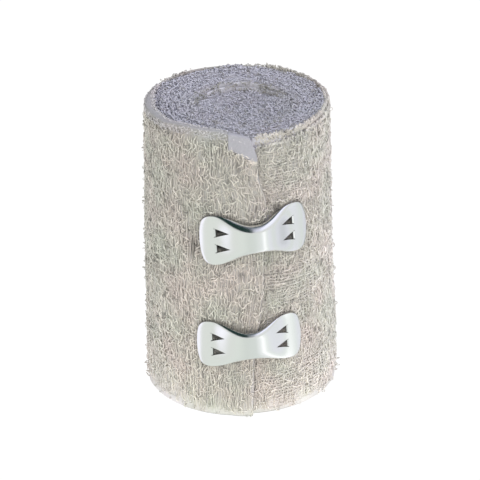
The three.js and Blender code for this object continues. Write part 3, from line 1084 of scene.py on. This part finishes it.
def make_head_loops():
    rng = np.random.default_rng(81)
    fine = np.linspace(0.3, LIP_START, 4000)
    share = np.cumsum(reach_at(fine))
    spread = (np.arange(HEAD_LOOPS) + rng.uniform(0, 1, HEAD_LOOPS)) / HEAD_LOOPS
    turns = np.interp(spread, share / share[-1], fine)
    bared = np.clip(head_at(turns) - head_at(np.maximum(turns - 1, 0)), 0, None)
    height = head_at(turns) - 0.5 + edge_lift(turns) - under_lip(turns)
    height = height - bared * rng.uniform(0, 1, HEAD_LOOPS)
    radius = reach_at(turns) - layer_at(turns) / 2 + rng.uniform(-0.4, 0.4, HEAD_LOOPS)
    radius = radius - 0.4 * np.minimum(bared, 1)
    radius = np.clip(radius, 0.3, reach_at(turns) - 0.35)
    foot = winding_point(radius, turns, height)
    ahead = winding_point(radius, turns + 0.004, height) - foot
    level = ahead / np.linalg.norm(ahead, axis=-1, keepdims=True)
    up = np.tile([0.0, 0.0, 1.0], (HEAD_LOOPS, 1))
    size = np.stack([rng.uniform(0.25, 0.55, HEAD_LOOPS), rng.uniform(0.14, 0.32, HEAD_LOOPS)], axis=-1)
    lean = rng.normal(0, 0.7, HEAD_LOOPS)
    thick = rng.uniform(0.12, 0.19, HEAD_LOOPS)
    recess = np.minimum(bared, 1)[:, None]
    patch = 0.35 * patchy(foot[:, 0], foot[:, 1], 3.2, 3.2, 85)[:, None]
    near = ease(-foot[:, 1], 6, 14)[:, None]
    fleck = rng.uniform(0, 1, (HEAD_LOOPS, 1)) < 0.03 + 0.12 * near + 0.45 * recess
    # Loops in the recess are darkened as painted shade, and so are the dark flecks, most of them in the
    # recess.
    shade = patch - 0.3 - 1.9 * recess - 2.8 * fleck
    # The lilac share is painted ceiling light. It is less in the shaded recess and on the flecks, and
    # small on the slipped outer turn.
    slipped = (turns > TURNS - 1)[:, None]
    lilac_light = np.where(slipped, 0.1, 0.85 - 0.5 * recess - 0.4 * fleck)
    return add_loops("head_loops", foot, up, level, size, lean, thick, 82, lilac_light, shade)


head_loops = make_head_loops()

# %% Loops along the lip
LIP_LOOPS = 760


def make_lip_loops():
    """Short loops that reach over the lip's inner edge and down past its outer edge."""
    rng = np.random.default_rng(83)
    turns = TURNS - rng.uniform(0.002, 0.36, LIP_LOOPS)
    outer = rng.uniform(0, 1, LIP_LOOPS) < 0.45
    inward = CARRIER_THICK + lip_width(turns) + rng.normal(0.1, 0.2, LIP_LOOPS)
    out = CARRIER_OUT - np.where(outer, -0.1, inward)
    drop = np.where(outer, rng.uniform(0.4, 1.8, LIP_LOOPS), 0.35)
    foot = wall_point(turns, head_at(turns) - drop, out)
    wall = outward_at(turns, head_at(turns))
    up = np.where(outer[:, None], wall, [0.0, 0.0, 1.0])
    level = np.cross([0.0, 0.0, 1.0], wall)
    size = np.stack([rng.uniform(0.2, 0.45, LIP_LOOPS), rng.uniform(0.1, 0.3, LIP_LOOPS)], axis=-1)
    lean = rng.normal(0, 0.8, LIP_LOOPS)
    thick = rng.uniform(0.09, 0.15, LIP_LOOPS)
    # The lip's loops are mixed towards lilac as painted ceiling light.
    return add_loops("lip_loops", foot, up, level, size, lean, thick, 84, 0.4)


lip_loops = make_lip_loops()

# %% Stray loops of the wall
WALL_LOOPS = 1800


def make_wall_loops():
    rng = np.random.default_rng(91)
    turns = TURNS - 1 + rng.uniform(0.001, 0.997, WALL_LOOPS)
    height = rng.uniform(0.4, STRIP_WIDTH, WALL_LOOPS)
    keep = (height < threads_top(turns) + 0.4) & (pressed_at(turns, height) < 0.1)
    turns, height = turns[keep], height[keep]
    count = len(turns)
    foot = wall_point(turns, height, -0.15)
    up = outward_at(turns, height)
    level = np.cross([0.0, 0.0, 1.0], up)
    size = np.stack([rng.uniform(0.15, 0.4, count), rng.uniform(0.2, 0.7, count)], axis=-1)
    lean = rng.normal(0, 0.7, count)
    return add_loops("wall_loops", foot, up, level, size, lean, rng.uniform(0.06, 0.11, count), 92)


wall_loops = make_wall_loops()

# %% [markdown]
# ## The folded end
# The strip's end is turned in, and its upper corner is folded down aslant. The turned cloth shows its
# smooth side there, as a pale patch that runs from the lip over the rim and down the edge. It is a small
# sheet made of columns, each from the lip or the slanting edge down to the patch's lower edge.

# %% Make the fold
FOLD_COLUMNS = (
    # distance from the end, upper height, lower height, how far it reaches in over the lip
    (7.00, 76.0, 71.8, 1.2),
    (5.60, 75.7, 71.2, 1.2),
    (4.60, 75.5, 70.7, 1.2),
    (3.50, 75.3, 70.1, 1.2),
    (2.40, 75.0, 69.5, 1.2),
    (1.80, 74.9, 69.1, 1.0),
    (1.20, 73.6, 68.8, 0.4),
    (0.60, 71.9, 68.5, 0.1),
    (0.03, 70.2, 68.2, 0.0),
)
FOLD_ROWS = 22
FOLD_STEPS = 34
# The fold's smooth cloth is darkened as painted shade.
FOLD_SHADE_TINT = -4.0
# The fold is mixed towards lilac as painted ceiling light.
FOLD_LILAC_LIGHT = 0.75


def make_fold():
    columns = np.array(FOLD_COLUMNS)
    at = columns[0, 0] - np.linspace(0, 1, FOLD_STEPS) * (columns[0, 0] - columns[-1, 0])
    order = np.argsort(columns[:, 0])
    upper, lower, lip = [np.interp(at, columns[order, 0], columns[order, n])[:, None] for n in (1, 2, 3)]
    run = np.linspace(0, 1, FOLD_ROWS)[None] * (lip + upper - lower)
    height = np.minimum(upper, upper - (run - lip))
    inward = np.maximum(lip - run, 0)
    turns = TURNS - at[:, None] / ROUND + 0 * run
    edge = np.minimum(run, lip + upper - lower - run)
    crown = 0.12 * ease(edge, 0, 0.5) + 0.05 * patchy(at[:, None], run, 2, 3, 101)
    top = wall_point(turns, height + 0.1 * ease(inward, 0, 0.4), 0.05 + crown - inward)
    under = wall_point(turns, height - 0.25 * ease(inward, 0, 0.4), -0.22 - inward)
    ring = np.concatenate([top[:, ::-1], under], axis=1)
    return sweep_ribbon("end_fold", ring, FOLD_SHADE_TINT, FOLD_LILAC_LIGHT)


end_fold = make_fold()

# %% Fuzz along the fold
FOLD_CURLS = 70


def make_fold_curls():
    rng = np.random.default_rng(103)
    back = rng.uniform(0.1, FOLD_REACH + 0.3, FOLD_CURLS)
    height = FOLD_FOOT + FOLD_SLOPE * back + rng.normal(-0.2, 0.5, FOLD_CURLS)
    lean = rng.normal(-0.4, 0.7, FOLD_CURLS)
    length = rng.uniform(0.7, 1.6, FOLD_CURLS)
    thick = rng.uniform(0.1, 0.17, FOLD_CURLS)
    lift = rng.uniform(0.1, 0.34, FOLD_CURLS)
    return add_curls("fold_curls", TURNS - back / ROUND, height, lean, length, thick, lift, 104)


fold_curls = make_fold_curls()

# %% [markdown]
# ## The clips
# Each clip is stamped from thin bright sheet. Two broad lobes lie on the cloth, a narrow waist bridges
# over it with its edges rolled down, and two teeth are punched out of each lobe and bent into the cloth.
# The clip is modelled flat: a grid is given the outline and a thickness, the slots are cut from it, and
# the teeth are joined on. Last of all each flat clip is bent round the roll.

# %% Plate of a clip
CLIP_THICKNESS = 0.4
CLIP_STEPS = 120
CLIP_LANES = 40
LOBE_BOW = 0.5
FLANGE_START = 0.5
EDGE_BEVEL = 0.09


def flat_plate(x, y, depth):
    """Carries a square grid from -1 to 1 onto the flat clip: along, across and out."""
    along = CLIP_LENGTH / 2 * np.sin(x * math.pi / 2)
    spread = np.sign(y) * (1 - (1 - np.abs(y)) ** 1.5)
    endness = ease(np.abs(along), CLIP_LENGTH * 0.42, CLIP_LENGTH * 0.5)
    bow = np.sign(along) * LOBE_BOW * endness * (1 - spread**2)
    waist = 1 - 0.9 * ease(np.abs(along), CLIP_LENGTH * 0.12, CLIP_LENGTH * 0.42)
    near = np.clip((np.abs(spread) - FLANGE_START) / (1 - FLANGE_START), 0, 1)
    roll = depth * waist * (1 - np.sqrt(1 - 0.97 * near**2))
    return along + bow, spread * clip_half_width(along), -roll


# %% Teeth and slots of a clip
TOOTH_WIDTH = 2.3
TOOTH_BEND = math.radians(78)
KERF = 0.12
TEETH = [(side, row * TOOTH_SPACING / 2) for side in (-1, 1) for row in (-1, 1)]


def flat_tooth(x, y, side, across, grow, bend):
    """Carries a square grid onto a pointed tooth whose root is at its place on the lobe."""
    share = (x + 1) / 2
    run = share * (TOOTH_LENGTH + 2 * grow) - (0.25 if bend else 0)
    half = (TOOTH_WIDTH / 2 + grow) * (1.005 - share)
    dip = bend * ease(run, 0, 0.9)
    root = CLIP_LENGTH / 2 - TOOTH_INSET
    return side * (root - run * np.cos(dip)), across + y * half, -run * np.sin(dip)


# %% Grids moved to a shape and thickened
def add_shaped_grid(name, steps, lanes, thick, carry):
    bpy.ops.object.select_all(action="DESELECT")
    bpy.ops.mesh.primitive_grid_add(x_subdivisions=steps, y_subdivisions=lanes, size=2)
    piece = bpy.context.object
    piece.name = name
    for vertex in piece.data.vertices:
        x, y, _ = vertex.co
        vertex.co = [float(v) for v in carry(np.float64(x), np.float64(y))]
    solidify = piece.modifiers.new("thickness", "SOLIDIFY")
    solidify.thickness = thick
    solidify.offset = 0
    bpy.ops.object.modifier_apply(modifier=solidify.name)
    bpy.ops.object.mode_set(mode="EDIT")
    bpy.ops.mesh.select_all(action="SELECT")
    bpy.ops.mesh.normals_make_consistent(inside=False)
    bpy.ops.object.mode_set(mode="OBJECT")
    return piece


def join(pieces):
    bpy.ops.object.select_all(action="DESELECT")
    for piece in pieces:
        piece.select_set(True)
    bpy.context.view_layer.objects.active = pieces[0]
    bpy.ops.object.join()
    return pieces[0]


def boolean(piece, operation, other):
    bpy.context.view_layer.objects.active = piece
    cut = piece.modifiers.new("cut", "BOOLEAN")
    cut.operation = operation
    cut.object = other
    cut.solver = "EXACT"
    bpy.ops.object.modifier_apply(modifier=cut.name)
    bpy.data.objects.remove(other)


# %% Model the flat clip
def add_teeth(name, grow, bend, thick):
    def one(side, across):
        return add_shaped_grid(
            name, 14, 4, thick, lambda x, y: flat_tooth(x, y, side, across, grow, bend)
        )

    return join([one(*place) for place in TEETH])


def model_clip(name, depth):
    def carry(x, y):
        return flat_plate(x, y, depth)

    plate = add_shaped_grid(name, CLIP_STEPS, CLIP_LANES, CLIP_THICKNESS, carry)
    bevel = plate.modifiers.new("edge", "BEVEL")
    bevel.width = EDGE_BEVEL
    bevel.segments = 2
    bevel.limit_method = "ANGLE"
    bevel.angle_limit = math.radians(50)
    bpy.ops.object.modifier_apply(modifier=bevel.name)
    boolean(plate, "DIFFERENCE", add_teeth("slots", KERF, 0.0, CLIP_THICKNESS * 6))
    boolean(plate, "UNION", add_teeth("teeth", 0.0, TOOTH_BEND, CLIP_THICKNESS * 0.9))
    print(name, len(plate.data.polygons), "faces")
    return plate


flat_clips = [model_clip("bright_" + row[0], row[-1]) for row in CLIPS]

# %% Bend the clips round the roll
STAND_OFF = 0.7
BRIDGE_RISE = 2.3
BRIDGE_ENDS = (0.04, 0.74)


def clip_rise(along):
    """How far the clip's middle line stands off the cloth."""
    share = np.abs(along) / (CLIP_LENGTH / 2)
    return STAND_OFF + BRIDGE_RISE * (1 - ease(share, *BRIDGE_ENDS)) + 0.12 * ease(share, 0.75, 1)


def wall_radius(azimuth, height):
    turns = TURNS + (azimuth - END_AZIMUTH) / (2 * math.pi)
    shown = turns - 1 if turns > TURNS else turns
    return float(np.hypot(*wall_point(np.array(shown), np.array(height), 0.0)[:2]))


def bend_clip(piece, height, azimuth, tilt, size):
    points = np.empty(len(piece.data.vertices) * 3)
    piece.data.vertices.foreach_get("co", points)
    along, across, out = points.reshape(-1, 3).T
    centre = math.radians(azimuth)
    sine, cosine = math.sin(math.radians(tilt)), math.cos(math.radians(tilt))
    lobe = CLIP_LENGTH * size * 0.36 / MEAN_RADIUS
    left, right = [wall_radius(centre + s * lobe, height + s * lobe * sine) for s in (-1, 1)]
    seat = left + (right - left) * ease(along, -CLIP_LENGTH / 3, CLIP_LENGTH / 3)
    angle = centre + size * (along * cosine - across * sine) / MEAN_RADIUS
    up = height + size * (along * sine + across * cosine)
    lean = taper_at(up) / taper_at(height)
    radius = seat * lean + clip_rise(along) + out
    bent = np.stack([radius * np.sin(angle), -radius * np.cos(angle), up], axis=-1) * MM
    piece.data.vertices.foreach_set("co", bent.ravel())
    bpy.ops.object.select_all(action="DESELECT")
    piece.select_set(True)
    bpy.context.view_layer.objects.active = piece
    bpy.ops.object.shade_smooth_by_angle(angle=math.radians(35))
    print(piece.name, len(piece.data.vertices), "points")
    return piece


clips = [bend_clip(piece, *row[1:-1]) for piece, row in zip(flat_clips, CLIPS)]

# %% [markdown]
# ## Finishes
# The cotton is undyed: a warm grey that drifts from greenish to pinkish over a centimetre or so, with
# fine fibres in every thread. One node group gives that colour to every cloth piece, and the tint of
# each thread makes it lighter or darker, at random and as painted shade and light. A lilac share in it
# is painted light of the bluish ceiling, on the upper end, the lip and the fold. The clips are bright
# rolled sheet, a little smudged.

# %% Colour of the cotton
COTTON_GREEN = (0.71, 0.71, 0.64, 1)
COTTON_PINK = (0.77, 0.705, 0.66, 1)
# This lilac is painted light: the bluish ceiling's light on the upper end, the lip and the fold, mixed
# into the cotton's colour.
PAINTED_LILAC_LIGHT = (0.67, 0.665, 0.76, 1)
TINT_STEP = 0.09
FIBRE_STEP = 0.22
DRIFT_SCALE = 110
FIBRE_SCALE = 2300


def make_cotton_group():
    group = bpy.data.node_groups.new("cotton_tone", "ShaderNodeTree")
    group.interface.new_socket("Tint", in_out="INPUT", socket_type="NodeSocketFloat")
    group.interface.new_socket("Lilac Light", in_out="INPUT", socket_type="NodeSocketFloat")
    group.interface.new_socket("Color", in_out="OUTPUT", socket_type="NodeSocketColor")
    group.interface.new_socket("Height", in_out="OUTPUT", socket_type="NodeSocketFloat")
    nodes, links = group.nodes, group.links
    given = nodes.new("NodeGroupInput")
    result = nodes.new("NodeGroupOutput")
    place = nodes.new("ShaderNodeTexCoord")

    def noise(scale, detail):
        node = nodes.new("ShaderNodeTexNoise")
        node.inputs["Scale"].default_value = scale
        node.inputs["Detail"].default_value = detail
        links.new(place.outputs["Object"], node.inputs["Vector"])
        return node.outputs["Fac"]

    def scaled(value, factor, offset):
        node = nodes.new("ShaderNodeMath")
        node.operation = "MULTIPLY_ADD"
        links.new(value, node.inputs[0])
        node.inputs[1].default_value = factor
        node.inputs[2].default_value = offset
        return node.outputs[0]

    drift = nodes.new("ShaderNodeMix")
    drift.data_type = "RGBA"
    links.new(scaled(noise(DRIFT_SCALE, 3), 2.6, -0.75), drift.inputs["Factor"])
    drift.inputs["A"].default_value = COTTON_GREEN
    drift.inputs["B"].default_value = COTTON_PINK
    # The mix towards lilac is painted light of the bluish ceiling.
    lilac_lit = nodes.new("ShaderNodeMix")
    lilac_lit.data_type = "RGBA"
    links.new(given.outputs["Lilac Light"], lilac_lit.inputs["Factor"])
    links.new(drift.outputs["Result"], lilac_lit.inputs["A"])
    lilac_lit.inputs["B"].default_value = PAINTED_LILAC_LIGHT
    fibre = noise(FIBRE_SCALE, 3)
    total = nodes.new("ShaderNodeMath")
    total.operation = "ADD"
    links.new(scaled(given.outputs["Tint"], TINT_STEP, 1.0), total.inputs[0])
    links.new(scaled(fibre, FIBRE_STEP, -FIBRE_STEP / 2), total.inputs[1])
    bright = nodes.new("ShaderNodeVectorMath")
    bright.operation = "SCALE"
    links.new(lilac_lit.outputs["Result"], bright.inputs[0])
    links.new(total.outputs[0], bright.inputs["Scale"])
    links.new(bright.outputs[0], result.inputs["Color"])
    links.new(fibre, result.inputs["Height"])
    return group


cotton_tone = make_cotton_group()

# %% Cloth and metal
def make_cotton():
    material = bpy.data.materials.new("cotton_crepe")
    material.use_nodes = True
    nodes, links = material.node_tree.nodes, material.node_tree.links
    shader = nodes["Principled BSDF"]
    tone = nodes.new("ShaderNodeGroup")
    tone.node_tree = cotton_tone
    for name, socket in (("tint", "Tint"), ("lilac_light", "Lilac Light")):
        mark = nodes.new("ShaderNodeAttribute")
        mark.attribute_name = name
        links.new(mark.outputs["Fac"], tone.inputs[socket])
    links.new(tone.outputs["Color"], shader.inputs["Base Color"])
    bump = nodes.new("ShaderNodeBump")
    bump.inputs["Strength"].default_value = 0.35
    bump.inputs["Distance"].default_value = 0.0002
    links.new(tone.outputs["Height"], bump.inputs["Height"])
    links.new(bump.outputs["Normal"], shader.inputs["Normal"])
    shader.inputs["Roughness"].default_value = 0.95
    shader.inputs["Specular IOR Level"].default_value = 0.15
    shader.inputs["Sheen Weight"].default_value = 0.12
    shader.inputs["Sheen Roughness"].default_value = 0.6
    return material


def make_metal():
    material = bpy.data.materials.new("bright_sheet")
    material.use_nodes = True
    nodes, links = material.node_tree.nodes, material.node_tree.links
    shader = nodes["Principled BSDF"]
    place = nodes.new("ShaderNodeTexCoord")
    smudge = nodes.new("ShaderNodeTexNoise")
    smudge.inputs["Scale"].default_value = 240
    smudge.inputs["Detail"].default_value = 3
    links.new(place.outputs["Object"], smudge.inputs["Vector"])
    rough = nodes.new("ShaderNodeMapRange")
    rough.inputs["To Min"].default_value = 0.10
    rough.inputs["To Max"].default_value = 0.24
    links.new(smudge.outputs["Fac"], rough.inputs["Value"])
    links.new(rough.outputs["Result"], shader.inputs["Roughness"])
    shader.inputs["Base Color"].default_value = (0.84, 0.855, 0.85, 1)
    shader.inputs["Metallic"].default_value = 1.0
    return material


cotton = make_cotton()
bright_sheet = make_metal()

# %% [markdown]
# ## Bodies and stand-ins
# Every piece stays with the roll's one body. The wound strip stands for the roll's CAD solid, and each
# bright clip for the clip of the same name.

# %% Finish, body and stand-ins of each piece
threads = [upright_threads, level_ribs, *curls, *edge_ridges, lip_loops, wall_loops, end_fold, fold_curls]
for piece in [wound_strip, head_loops, outer_turn, *threads]:
    piece.data.materials.append(cotton)
    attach(piece, "root")
for piece, (node, *_) in zip(clips, CLIPS):
    piece.data.materials.append(bright_sheet)
    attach(piece, "root")
    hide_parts(node)
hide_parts("crepe_roll")
